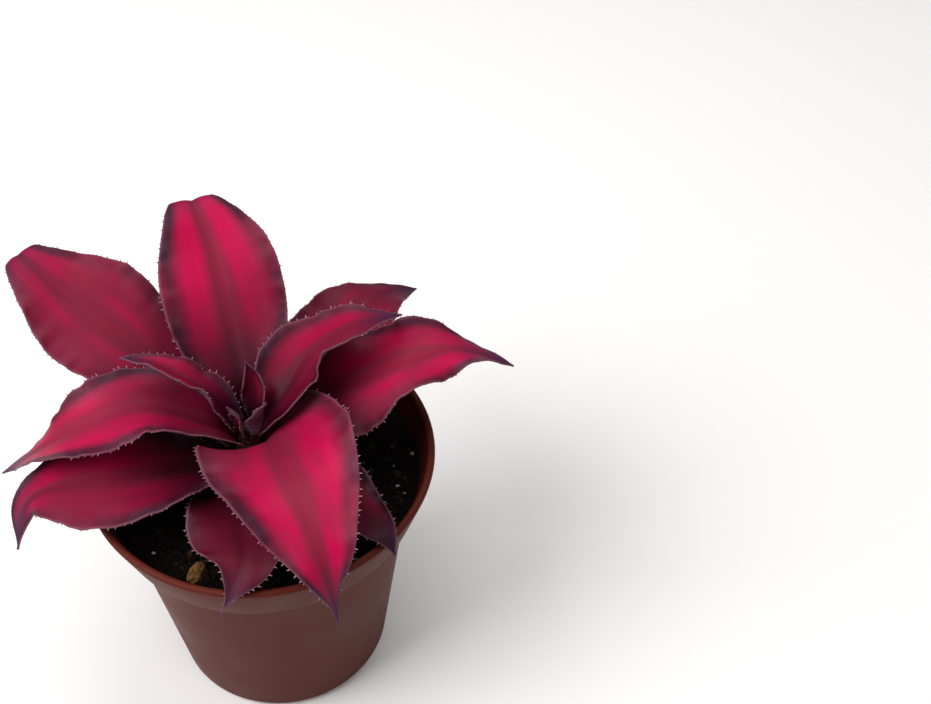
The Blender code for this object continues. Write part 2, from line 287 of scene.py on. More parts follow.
@dataclass(frozen=True)
class BromeliadLeaf:
    """Living leaf of an earth star: a waxy skin over crimson flesh, dusted with silvery scales.

    The colour is blurred: crimson runs along both sides of a duller rib, the margins are purple-brown, the
    base is nearly black-maroon and the tip goes purple. The skin gives broad soft highlights.

    The colour is blurred: crimson runs along both sides of a duller rib, the margins are purple-brown and the
    tip goes purple. Painted shade darkens the base to nearly black-maroon and whole shaded leaves towards
    near-black, and the pale line round the edge is a painted highlight. The skin gives broad soft highlights.
    of scales, single scales and the bands under it (mm); vein_share: how far the veins darken the colour
    """

    rib: str = "8A1834"
    crimson: str = "BC0646"
    rose: str = "861E3A"
    margin: str = "44182A"
    # Pale line along the edge, a painted highlight
    edge: str = "744050"
    # Near-black maroon of the painted shade at the base
    base: str = "2A0214"
    tip: str = "3A2440"
    scurf: str = "6E5468"
    underside: str = "5A3044"
    # Near-black of the painted shade over whole leaves that lie under others
    shade: str = "12000A"
    vein_spacing: float = 0.55
    vein_share: float = 0.3
    blotch: float = 16.0
    drift: float = 30.0
    bloom: float = 9.0
    scale_size: float = 0.5
    ring: tuple[float, float] = (2.2, 9.0)
    roughness: tuple[float, float] = (0.34, 0.52)

    def make(self) -> bpy.types.Material:
        """Builds the leaf material.

        Returns:
            The finished material, which reads the UV map and the attributes flat_mm, glow, dusk and under.
        """
        material, tree, shader = shader_tree("bromeliad_leaf", ior=1.45, specular_ior_level=0.1)
        add = partial(add_node, tree)
        spread = add("ShaderNodeUVMap", uv_map="blade")
        along, sideways, _ = add("ShaderNodeSeparateXYZ", {0: spread}).outputs
        flat = add("ShaderNodeAttribute", attribute_name="flat_mm").outputs["Vector"]
        glow, dusk, under = (
            add("ShaderNodeAttribute", attribute_name=name).outputs["Fac"]
            for name in ("glow", "dusk", "under"))
        place = add("ShaderNodeTexCoord").outputs["Object"]
        signed = add("ShaderNodeMath", {0: sideways, 1: 2.0, 2: -1.0}, operation="MULTIPLY_ADD")
        across = add("ShaderNodeMath", {0: signed}, operation="ABSOLUTE")

        # Patterns along and across the leaf in mm: soft blots drawn out along it, veins about half a
        # millimetre apart, and the bands of scales that cross its underside
        blots, veins, rings = (
            add("ShaderNodeTexNoise", {"Vector": spot, "Scale": 1.0, "Detail": detail})
            for spot, detail in (
                (add("ShaderNodeMapping", {0: flat, 3: (along_scale, across_scale, 1.0)}), detail)
                for along_scale, across_scale, detail in (
                    (0.45 / self.blotch, 1 / self.blotch, 2.0),
                    (0.03, 1 / self.vein_spacing, 3.0),
                    (1 / self.ring[0], 1 / self.ring[1], 3.0))))
        drift, dust, bloom = (
            add("ShaderNodeTexNoise", {"Vector": place, "Scale": 1000 / size, "Detail": detail})
            for size, detail in ((self.drift, 1.0), (self.scale_size, 2.0), (self.bloom, 3.0)))

        # Masks: painted shade darkens the base over the first half, the tip colour covers the last quarter, a
        # pale lip painted as a highlight runs round
        blot_mask, base_shade_mask, tip_mask, streak, cloud, rim, lip = (
            add("ShaderNodeValToRGB", {0: source}, stops=stops)
            for source, stops in (
                (blots, ((0.42, 0.0), (0.62, 0.9))),
                (along, ((0.10, 1.0), (0.27, 0.8), (0.52, 0.0))),
                (along, ((0.74, 0.0), (0.91, 0.8), (1.0, 1.0))),
                (veins, ((0.35, 0.72), (0.68, 1.0))),
                (bloom, ((0.42, 0.0), (0.72, 0.4))),
                (across, ((0.5, 0.05), (0.9, 0.5), (1.0, 0.8))),
                (across, ((0.965, 0.0), (1.0, 0.7)))))
        painted_base_shade, dusted = (
            add("ShaderNodeMath", {0: first, 1: second}, operation="MULTIPLY")
            for first, second in ((base_shade_mask, dusk), (cloud, rim)))

        # Bands from the rib to the margin, whose borders wander
        shift = add("ShaderNodeMath", {0: drift, 1: 0.36, 2: across}, operation="MULTIPLY_ADD")
        wander = add("ShaderNodeMath", {0: shift, 1: 0.18}, operation="SUBTRACT")
        bands = (
            (0.0, self.rib), (0.16, self.rose), (0.34, self.crimson), (0.62, self.crimson),
            (0.87, self.margin), (1.0, self.margin))
        colour = add("ShaderNodeValToRGB", {0: wander}, stops=bands)
        silver = add("ShaderNodeValToRGB", {0: rings}, stops=((0.38, self.underside), (0.66, self.scurf)))

        # Layers of colour, where None stands for the layers so far
        for mask, low, high, blend in (
            (blot_mask, None, self.rose, "MIX"),
            # Painted shade at the base, where the leaves over it keep the light off
            (painted_base_shade, None, self.base, "MIX"),
            (tip_mask, None, self.tip, "MIX"),
            (self.vein_share, None, streak, "MULTIPLY"),
            # Painted shade over the whole leaf, set by glow
            (glow, self.shade, None, "MIX"),
            (dusted, None, self.scurf, "MIX"),
            (under, None, silver, "MIX"),
            # Painted highlight: the pale line along the rounded edge
            (lip, None, self.edge, "MIX"),
        ):
            layers = {MIX_FACTOR: mask, MIX_A: low or colour, MIX_B: high or colour}
            colour = add("ShaderNodeMix", layers, data_type="RGBA", blend_type=blend)

        low, high = self.roughness
        gloss = add("ShaderNodeMapRange", {0: dust, 1: 0.3, 2: 0.7, 3: low, 4: high})
        rough = add("ShaderNodeMath", {0: under, 1: 0.2, 2: gloss}, operation="MULTIPLY_ADD")
        skin = None
        for height, strength, depth in ((veins, 0.35, 0.12), (dust, 0.2, 0.06)):
            relief = {"Height": height, "Strength": strength, "Distance": depth * MM}
            skin = add("ShaderNodeBump", relief | ({"Normal": skin} if skin else {}))
        connect(tree, shader, {"Base Color": colour, "Roughness": rough, "Normal": skin})
        return material


@dataclass(frozen=True)
class LeafSpine:
    """Hard horny spine of a leaf margin: brown where it roots and pinkish white at its point."""

    root: str = "4A2030"
    point: str = "B88C94"

    def make(self) -> bpy.types.Material:
        """Builds the spine material.

        Returns:
            The finished material, which reads the attribute reach along each spine.
        """
        material, tree, shader = shader_tree("horny_spine", roughness=0.35, ior=1.5)
        reach = add_node(tree, "ShaderNodeAttribute", attribute_name="reach").outputs["Fac"]
        stops = ((0.0, self.root), (0.4, self.point))
        colour = add_node(tree, "ShaderNodeValToRGB", {0: reach}, stops=stops)
        connect(tree, shader, {"Base Color": colour})
        return material


@dataclass(frozen=True)
class MouldedPlastic:
    """Polypropylene of a nursery pot, injection moulded: satin, dusty and scuffed by handling.

    cloud, grain: sizes of the clouds of dust and of the moulded grain (mm)
    """

    body: str = "522118"
    # Redder lip, painted light shining through the thin plastic
    rim: str = "541F16"
    dust: str = "643C31"
    cloud: float = 28.0
    grain: float = 0.35

    def make(self, rim_foot: float, rim_top: float) -> bpy.types.Material:
        """Builds the pot material.

        Args:
            rim_foot: height where the redder colour of the thin lip starts, painted light shining through it
                (mm).
            rim_top: height of the lip (mm).

        Returns:
            The finished material.
        """
        material, tree, shader = shader_tree("moulded_polypropylene", ior=1.49, specular_ior_level=0.08)
        add = partial(add_node, tree)
        place = add("ShaderNodeTexCoord").outputs["Object"]
        height = add("ShaderNodeSeparateXYZ", {0: place}).outputs[2]
        lift = add("ShaderNodeMapRange", {0: height, 1: rim_foot * MM, 2: rim_top * MM, 3: 0.0, 4: 1.0})

        # Dust lies in clouds, and handling scuffs run round the pot, so their noise is squeezed along Z
        clouds = add("ShaderNodeTexNoise", {"Vector": place, "Scale": 1000 / self.cloud, "Detail": 4.0})
        band = add("ShaderNodeMapping", {0: place, 3: (18.0, 18.0, 420.0)})
        scuffs = add("ShaderNodeTexNoise", {"Vector": band, "Scale": 1.0, "Detail": 6.0})
        film = add("ShaderNodeValToRGB", {0: clouds}, stops=((0.45, 0.0), (0.75, 0.22)))
        marks = add("ShaderNodeValToRGB", {0: scuffs}, stops=((0.60, 0.0), (0.72, 0.22)))
        colour = self.body
        # The lip is mixed redder as painted light through the thin plastic; the dust and scuffs are real
        for mask, over in ((lift, self.rim), (film, self.dust), (marks, self.dust)):
            colour = add("ShaderNodeMix", {MIX_FACTOR: mask, MIX_A: colour, MIX_B: over}, data_type="RGBA")
        rough = add("ShaderNodeMapRange", {0: clouds, 1: 0.3, 2: 0.7, 3: 0.42, 4: 0.58})
        pebble = add("ShaderNodeTexNoise", {"Vector": place, "Scale": 1000 / self.grain, "Detail": 2.0})
        bump = add("ShaderNodeBump", {"Strength": 0.25, "Distance": 0.05 * MM, "Height": pebble})
        connect(tree, shader, {"Base Color": colour, "Roughness": rough, "Normal": bump})
        return material


@dataclass(frozen=True)
class Earthy:
    """Anything grown or dug: peat, bark, perlite or stem bark. Matt, mottled and grainy.

    grain is the size of its mottles (mm), and roughness and bump set how its surface scatters light.
    """

    name: str
    dark: str
    light: str
    grain: float
    roughness: float = 0.9
    bump: float = 0.5

    def make(self) -> bpy.types.Material:
        """Builds the material.

        Returns:
            The finished material.
        """
        material, tree, shader = shader_tree(self.name, roughness=self.roughness, specular_ior_level=0.1)
        add = partial(add_node, tree)
        place = add("ShaderNodeTexCoord").outputs["Object"]
        coarse = add("ShaderNodeTexNoise", {"Vector": place, "Scale": 1000 / self.grain, "Detail": 5.0})
        colour = add("ShaderNodeValToRGB", {0: coarse}, stops=((0.36, self.dark), (0.70, self.light)))
        relief = {"Height": coarse, "Strength": self.bump, "Distance": 0.3 * self.grain * MM}
        bump = add("ShaderNodeBump", relief)
        connect(tree, shader, {"Base Color": colour, "Normal": bump})
        return material


@dataclass(frozen=True)
class Stem:
    """Short woody crown that the leaves grow from.

    x, y: its axis; foot_radius, top_radius: its cone from the soil to its top; top: its height (mm).
    """

    x: float = -3.0
    y: float = 1.0
    foot_radius: float = 6.4
    top_radius: float = 2.4
    top: float = 97.8
    soil: float = 79.0
    foot: float = 63.3
    scar_depth: float = 0.22
    scar_pitch: float = 1.7
    rings: int = 90
    sides: int = 48

    def radius(self, height: float) -> float:
        """Radius of the cone at a height, in millimetres."""
        share = (height - self.soil) / (self.top - self.soil)
        return self.foot_radius + (self.top_radius - self.foot_radius) * min(max(share, 0.0), 1.0)

    def build(self, material: bpy.types.Material) -> bpy.types.Object:
        """Builds the stem with the ring scars that old leaves leave.

        Args:
            material: the stem's bark.

        Returns:
            The finished piece.
        """
        heights = np.linspace(self.foot, self.top, self.rings)
        scars = self.scar_depth * np.abs(np.sin(np.pi * heights / self.scar_pitch))
        profile = [(0.0, self.foot)]
        profile += [(self.radius(z) - s, z) for z, s in zip(heights.tolist(), scars.tolist())]
        profile += [(0.0, self.top)]
        data = turned("stem_bark", profile, self.sides)
        data.transform(Matrix.Translation((self.x * MM, self.y * MM, 0)))
        return new_piece("stem_bark", data, material)


@dataclass(frozen=True)
class Blade:
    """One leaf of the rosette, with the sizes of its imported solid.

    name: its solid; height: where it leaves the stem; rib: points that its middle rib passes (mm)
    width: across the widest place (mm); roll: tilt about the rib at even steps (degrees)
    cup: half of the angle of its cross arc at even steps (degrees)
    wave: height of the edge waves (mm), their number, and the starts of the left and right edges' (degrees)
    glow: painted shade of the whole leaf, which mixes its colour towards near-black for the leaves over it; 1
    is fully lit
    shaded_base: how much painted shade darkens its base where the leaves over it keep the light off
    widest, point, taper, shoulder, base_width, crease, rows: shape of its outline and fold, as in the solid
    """

    name: str
    height: float
    rib: tuple
    width: float
    roll: tuple
    cup: tuple
    wave: tuple
    glow: float
    shaded_base: float = 1.0
    widest: float = 0.42
    point: float = 1.2
    taper: float = 1.9
    shoulder: float = 1.15
    crease: float = 0.0
    base_width: float = 9.0
    rows: int = 19

    # In mm, apart from FRILL_START in radians, the powers CROWDING and RIB_FALL, and the shares BRIM (how far
    # the round edge stands out) and BRIM_UNDERSIDE (how far it shows the underside's colour). The crease is
    # full where half of the blade's width is CREASE_FULL or more
    TIP_HALF_WIDTH = 0.18
    RIB_THICKNESS = 1.4
    EDGE_THICKNESS = 0.55
    RIB_FALL = 1.5
    GAP = 0.3
    SOLID_RIB = 1.5
    FINE_ROWS = 170
    FINE_COLUMNS = 28
    CREASE_DEPTH = 0.5
    CREASE_WIDTH = 1.6
    CREASE_FULL = 6
    FRILL = 0.32
    FRILL_LENGTH = 8.5
    FRILL_START = 2.1
    CROWDING = 1.15
    BRIM = 0.45
    BRIM_UNDERSIDE = 0.4

    def half_width(self, share: np.ndarray) -> np.ndarray:
        """Half of the blade's width (mm) at shares of its length."""
        start = self.base_width / self.width
        rise = np.sin(0.5 * np.pi * np.minimum(share / self.widest, 1)) ** self.shoulder
        past = np.clip((share - self.widest) / (1 - self.widest), 0, 1)
        fall = (1 - past**self.taper) ** self.point
        shape = np.where(share < self.widest, start + (1 - start) * rise, fall)
        return np.maximum(0.5 * self.width * shape, self.TIP_HALF_WIDTH)

    def rib_line(self, stem: Stem, rows: int) -> tuple[np.ndarray, float]:
        """Finds the rib's points, evenly spaced along it.

        Args:
            stem: the stem that the leaf grows from.
            rows: how many strips the blade has along its length.

        Returns:
            The points, and the rib's length (mm).
        """
        away = np.array([self.rib[0][0] - stem.x, self.rib[0][1] - stem.y, 0.0])
        reach = stem.radius(self.height) + self.GAP + 0.5 * self.SOLID_RIB
        base = np.array([stem.x, stem.y, self.height]) + away / np.linalg.norm(away) * reach
        fine = catmull([tuple(base), *self.rib], np.linspace(0, 1, 400))
        steps = np.linalg.norm(np.diff(fine, axis=0), axis=1)
        reached = np.concatenate([[0], np.cumsum(steps)])
        even = np.linspace(0, reached[-1], rows + 1)
        points = np.column_stack([np.interp(even, reached, column) for column in fine.T])
        return points, float(reached[-1])

    def frames(self, stem: Stem) -> tuple[np.ndarray, np.ndarray, np.ndarray, float]:
        """Finds the blade's place and turn at each fine row.

        The turn is worked out at the solid's rows and then smoothed between them, so both have one shape.

        Args:
            stem: the stem that the leaf grows from.

        Returns:
            Points, left directions and up directions, one row each, and the rib's length (mm).
        """
        coarse, _ = self.rib_line(stem, self.rows)
        lefts = []
        left = None
        for row in range(self.rows + 1):
            forward = unit(coarse[min(row + 1, self.rows)] - coarse[max(row - 1, 0)])
            level = np.cross([0, 0, 1], forward)
            left = unit(level) if left is None else left
            level = -level if level @ left < 0 else level
            left = left * (1 - np.linalg.norm(level)) + level
            left = unit(left - forward * (left @ forward))
            lefts.append(left)
        points, length = self.rib_line(stem, self.FINE_ROWS)
        share = np.linspace(0, 1, self.FINE_ROWS + 1)
        forward = unit(np.gradient(points, axis=0))
        left = catmull(lefts, share)
        left = unit(left - forward * np.sum(left * forward, axis=1, keepdims=True))
        roll = np.radians(catmull(self.roll, share))[:, None]
        tilted = left * np.cos(roll) + np.cross(forward, left) * np.sin(roll)
        return points, tilted, np.cross(forward, tilted), length

    def surface(self, stem: Stem) -> dict[str, np.ndarray]:
        """Works out the blade's middle surface.

        Args:
            stem: the stem that the leaf grows from.

        Returns:
            place, normal and flat (mm along and across) as (rows, columns, 3), share and across as (rows,
            columns).
        """
        points, left, up, length = self.frames(stem)
        share = np.linspace(0, 1, self.FINE_ROWS + 1)[:, None]
        spread = np.linspace(-1, 1, self.FINE_COLUMNS + 1)
        across = np.sign(spread) * (1 - (1 - np.abs(spread)) ** self.CROWDING)
        across = np.broadcast_to(across[None, :], (self.FINE_ROWS + 1, self.FINE_COLUMNS + 1))
        half = self.half_width(share)
        bend = np.radians(catmull(self.cup, share[:, 0]))[:, None]
        bend = np.where(np.abs(bend) < 1e-3, 1e-3, bend)
        lift, waves, left_start, right_start = self.wave
        start = np.radians(np.where(across > 0, left_start, right_start))
        fade = (1 - share**4) * (1 - (1 - share) ** 6)
        ripple = lift * fade * across**2 * np.sin(2 * np.pi * waves * share + start)

        # Fine frill of the margin and the crease along the rib, which the solid is too coarse for
        turn = np.where(across > 0, 0.0, self.FRILL_START) + self.height
        swell = 2 * np.pi * length / self.FRILL_LENGTH * share
        frill = np.sin(swell + turn) + 0.6 * np.sin(1.7 * swell + 2 * turn)
        ripple = ripple + self.FRILL * fade * np.abs(across) ** 5 * frill
        ripple = ripple - self.crease * share**2 * (1 - share**6) * (1 - np.abs(across)) ** 2
        off_rib = across * half / self.CREASE_WIDTH
        fold = (1 - share**3) * np.exp(-(off_rib**2)) * np.minimum(half / self.CREASE_FULL, 1)
        ripple = ripple - self.CREASE_DEPTH * fold
        turn_left = np.sin(bend * across)
        place = (
            points[:, None, :]
            + left[:, None, :] * (half * turn_left / bend)[..., None]
            + up[:, None, :] * (half * (1 - np.cos(bend * across)) / bend + ripple)[..., None]
        )
        normal = unit(np.cross(np.gradient(place, axis=0), np.gradient(place, axis=1)))
        flat = np.stack([share * length + 0 * across, across * half, 0 * across + self.height], axis=-1)
        share = share + 0 * across
        return {"place": place, "normal": normal, "share": share, "across": across, "flat": flat}

    def build(self, stem: Stem, material: bpy.types.Material) -> tuple[bpy.types.Object, list[np.ndarray]]:
        """Builds the leaf as one closed blade with a round edge.

        Args:
            stem: the stem that the leaf grows from.
            material: the leaf's finish.

        Returns:
            The finished piece, and for each margin its points and outward directions side by side.
        """
        form = self.surface(stem)
        place, normal, share, across = form["place"], form["normal"], form["share"], form["across"]
        rows, columns = share.shape
        rib = self.RIB_THICKNESS + (self.EDGE_THICKNESS - self.RIB_THICKNESS) * share
        thick = self.EDGE_THICKNESS + (rib - self.EDGE_THICKNESS) * (1 - np.abs(across)) ** self.RIB_FALL
        offset = normal * (0.5 * thick)[..., None]
        outward = [unit(place[:, edge] - place[:, inner]) for edge, inner in ((0, 1), (-1, -2))]
        stand = self.BRIM * self.EDGE_THICKNESS
        brim = [place[:, edge] + out * stand for edge, out in zip((0, -1), outward)]
        top, low = place + offset, place - offset
        loops = np.concatenate([top, brim[1][:, None], low[:, ::-1], brim[0][:, None]], axis=1)
        around = loops.shape[1]

        def ring(values: np.ndarray, right: float | np.ndarray, left: float | np.ndarray) -> np.ndarray:
            """Lays a value of the surface round the whole loop of each row."""
            ends = [np.broadcast_to(end, rows)[:, None] for end in (left, right)]
            return np.concatenate([values, ends[0], values[:, ::-1], ends[1]], axis=1)

        index = np.arange(rows * around).reshape(rows, around)
        nxt = np.roll(index, -1, axis=1)
        quads = np.stack([index[:-1], index[1:], nxt[1:], nxt[:-1]], axis=-1).reshape(-1, 4)
        faces = [tuple(face) for face in quads.tolist()]
        faces += [tuple(index[0].tolist()), tuple(reversed(index[-1].tolist()))]
        name = self.name.replace("leaf", "blade")
        data = bpy.data.meshes.new(name)
        data.from_pydata((loops.reshape(-1, 3) * MM).tolist(), [], faces)
        along = ring(share, share[:, 0], share[:, 0]).ravel()
        sideways = ring(across, -1.0, 1.0).ravel()
        flat = [ring(part, part[:, 0], part[:, -1]).ravel() for part in np.moveaxis(form["flat"], -1, 0)]
        below = np.zeros((rows, around))
        below[:, columns + 1 : 2 * columns + 1] = 1.0
        below[:, [columns, around - 1]] = self.BRIM_UNDERSIDE
        corners = np.empty(len(data.loops), int)
        data.loops.foreach_get("vertex_index", corners)
        spots = np.column_stack([along[corners], 0.5 + 0.5 * sideways[corners]])
        data.uv_layers.new(name="blade").data.foreach_set("uv", spots.ravel())
        glow, dusk = (np.full(len(along), value) for value in (self.glow, self.shaded_base))
        mark(data, flat_mm=np.stack(flat, axis=1), under=below.ravel(), glow=glow, dusk=dusk)
        data.shade_smooth()
        data.validate()
        repair = bmesh.new()
        repair.from_mesh(data)
        bmesh.ops.recalc_face_normals(repair, faces=repair.faces)
        repair.to_mesh(data)
        repair.free()
        margins = [np.concatenate([edge, out], axis=1) for edge, out in zip(brim, outward)]
        return new_piece(name, data, material), margins


@dataclass(frozen=True)
class Spines:
    """Small hooked spines along the leaf margins, laid along them by a node tree.

    pitch: usual distance between spines; length: of a full-grown one (mm)
    first, last: shares of the margin's length where they start and end
    """

    pitch: float = 2.1
    length: float = 0.85
    first: float = 0.06
    last: float = 0.965
    seed: int = 11

    # Of each ring of a spine, the height, the half widths and the lean, as shares of its length
    RINGS = (
        (-0.25, 0.40, 0.16, 0.0), (0.12, 0.24, 0.12, 0.0), (0.45, 0.11, 0.08, 0.10), (0.8, 0.06, 0.05, 0.2))
    POINT_LEAN = 0.36
    SIDES = 6

    def template(self) -> bpy.types.Object:
        """Builds one spine at the origin, with a sunk foot: it points along +Z and leans to +X.

        Returns:
            The spine, with the attribute reach from its root to its point.
        """
        mesh = bmesh.new()
        size = self.length * MM
        angles = [math.tau * k / self.SIDES for k in range(self.SIDES)]
        layers = []
        for height, wide, deep, lean in self.RINGS:
            spots = [(lean + wide * math.cos(a), deep * math.sin(a), height) for a in angles]
            layers.append([mesh.verts.new([size * value for value in spot]) for spot in spots])
        point = mesh.verts.new((self.POINT_LEAN * size, 0, size))
        for k in range(self.SIDES):
            m = (k + 1) % self.SIDES
            for lower, upper in zip(layers, layers[1:]):
                mesh.faces.new((lower[k], lower[m], upper[m], upper[k]))
            mesh.faces.new((layers[-1][k], layers[-1][m], point))
        mesh.faces.new(list(reversed(layers[0])))
        data = mesh_data("spine_template", mesh)
        mark(data, reach=[max(vert.co.z, 0.0) / size for vert in data.vertices])
        data.shade_smooth()
        return new_piece("spine_template", data)

    def tree(self) -> bpy.types.NodeTree:
        """Builds the node tree that lays spines along margin lines.

        Returns:
            The tree, whose inputs are the line mesh, the spine, the pitch, the seed and the finish.
        """
        tree, given = geometry_tree(
            "margin_spines", Spine="Object", Pitch="Float", Seed="Int", Finish="Material")
        add = partial(add_node, tree)
        seed = {"Seed": given["Seed"]}
        line = add("GeometryNodeMeshToCurve", {0: given["Geometry"]})
        even = add("GeometryNodeResampleCurve", {"Curve": line, "Length": given["Pitch"]}, mode="LENGTH")
        tangent = add("GeometryNodeInputTangent")
        slip = add("FunctionNodeRandomValue", {2: -0.38, 3: 0.38, **seed}, data_type="FLOAT")
        shift = add("ShaderNodeMath", {0: slip, 1: given["Pitch"]}, operation="MULTIPLY")
        step = add("ShaderNodeVectorMath", {0: tangent, "Scale": shift}, operation="SCALE")
        moved = add("GeometryNodeSetPosition", {"Geometry": even, "Offset": step})
        out = add("GeometryNodeInputNamedAttribute", {"Name": "outward"}, data_type="FLOAT_VECTOR")
        size = add("GeometryNodeInputNamedAttribute", {"Name": "size"}, data_type="FLOAT")
        sway = {0: (-0.25, -0.25, -0.25), 1: (0.25, 0.25, 0.25), **seed}
        tip = add("FunctionNodeRandomValue", sway, data_type="FLOAT_VECTOR")
        aim = add("ShaderNodeVectorMath", {0: out, 1: tip}, operation="ADD")
        stand = add("FunctionNodeAlignRotationToVector", {"Vector": aim}, axis="Z")
        turn = {"Rotation": stand, "Vector": tangent}
        facing = add("FunctionNodeAlignRotationToVector", turn, axis="X", pivot_axis="Z")
        growth = add("FunctionNodeRandomValue", {2: 0.55, 3: 1.15, **seed}, data_type="FLOAT")
        scale = add("ShaderNodeMath", {0: growth, 1: size}, operation="MULTIPLY")
        kept = add("FunctionNodeRandomValue", {"Probability": 0.9, **seed}, data_type="BOOLEAN")
        spine = add("GeometryNodeObjectInfo", {0: given["Spine"]}).outputs["Geometry"]
        laid = add(
            "GeometryNodeInstanceOnPoints",
            {"Points": moved, "Selection": kept, "Instance": spine, "Rotation": facing, "Scale": scale})
        return dressed_tree(tree, laid, given["Finish"])

    def build(
        self, margins: list[tuple[np.ndarray, float]], material: bpy.types.Material
    ) -> bpy.types.Object:
        """Lays spines along all the margins.

        Args:
            margins: for each margin, its points and outward directions side by side, and its spines' size.
            material: the spines' finish.

        Returns:
            The finished piece.
        """
        places, edges, outs, sizes = [], [], [], []
        for rows, size in margins:
            first = len(places)
            share = np.linspace(0, 1, len(rows))
            kept = (share > self.first) & (share < self.last)
            use = rows[kept]

            # Over the last sixth, spines get smaller towards the tip
            grown = size * np.minimum(1, (1.02 - share[kept]) * 6)
            places += (use[:, :3] * MM).tolist()
            outs += use[:, 3:].tolist()
            sizes += grown.tolist()
            edges += [(first + k, first + k + 1) for k in range(len(use) - 1)]
        data = bpy.data.meshes.new("leaf_spines")
        data.from_pydata(places, edges, [])
        mark(data, outward=outs, size=sizes)
        piece = new_piece("leaf_spines", data)
        template = self.template()
        values = {"Spine": template, "Pitch": self.pitch * MM, "Seed": self.seed, "Finish": material}
        run_tree(piece, self.tree(), values)
        bpy.data.objects.remove(template)
        return piece


def geometry_tree(name: str, **sockets: str) -> tuple[bpy.types.NodeTree, bpy.types.NodeOutputs]:
    """Starts a geometry tree that takes a geometry and other inputs.

    Args:
        name: the tree's name.
        sockets: for each further input, its kind.

    Returns:
        The tree, and the outputs of its input node.
    """
    tree = bpy.data.node_groups.new(name, "GeometryNodeTree")
    for label, kind in {"Geometry": "Geometry", **sockets}.items():
        tree.interface.new_socket(label, in_out="INPUT", socket_type=f"NodeSocket{kind}")
    tree.interface.new_socket("Geometry", in_out="OUTPUT", socket_type="NodeSocketGeometry")
    return tree, add_node(tree, "NodeGroupInput").outputs


def dressed_tree(
    tree: bpy.types.NodeTree, laid: bpy.types.Node, finish: bpy.types.NodeSocket
) -> bpy.types.NodeTree:
    """Ends a geometry tree: its instances become plain mesh with their finish.

    Args:
        tree: the tree.
        laid: the node that gives the instances.
        finish: the socket that gives their material.

    Returns:
        The same tree.
    """
    solid = add_node(tree, "GeometryNodeRealizeInstances", {0: laid})
    dressed = add_node(tree, "GeometryNodeSetMaterial", {"Geometry": solid, "Material": finish})
    add_node(tree, "NodeGroupOutput", {0: dressed})
    return tree


def run_tree(piece: bpy.types.Object, tree: bpy.types.NodeTree, values: dict) -> bpy.types.Object:
    """Runs a geometry tree on a piece and keeps the result as a plain mesh.

    Args:
        piece: the object that the tree starts from.
        tree: the node tree.
        values: for each named input of the tree, its value.

    Returns:
        The same piece.
    """
    modifier = piece.modifiers.new(tree.name, "NODES")
    modifier.node_group = tree
    for socket in tree.interface.items_tree:
        if socket.in_out == "INPUT" and socket.name in values:
            modifier[socket.identifier] = values[socket.name]
    return applied(piece)


def turned(name: str, profile: Sequence[Point], sides: int) -> bpy.types.Mesh:
    """Turns a profile round the Z axis, which it starts and ends on.

    Args:
        name: the mesh's name.
        profile: points (radius, height) in millimetres.
        sides: how many flat sides go round.

    Returns:
        The closed mesh, in metres, with its faces outwards.
    """
    mesh = bmesh.new()
    first = mesh.verts.new((0, 0, profile[0][1] * MM))
    final = mesh.verts.new((0, 0, profile[-1][1] * MM))
    angles = [math.tau * k / sides for k in range(sides)]
    rings = [
        [mesh.verts.new((r * MM * math.cos(a), r * MM * math.sin(a), z * MM)) for a in angles]
        for r, z in profile[1:-1]
    ]
    for k in range(sides):
        m = (k + 1) % sides
        mesh.faces.new((first, rings[0][m], rings[0][k]))
        mesh.faces.new((final, rings[-1][k], rings[-1][m]))
        for lower, upper in zip(rings, rings[1:]):
            mesh.faces.new((lower[k], lower[m], upper[m], upper[k]))
    bmesh.ops.recalc_face_normals(mesh, faces=mesh.faces)
    data = mesh_data(name, mesh)
    data.shade_smooth()
    data.set_sharp_from_angle(angle=math.radians(SHARP_DEGREES))
    return data


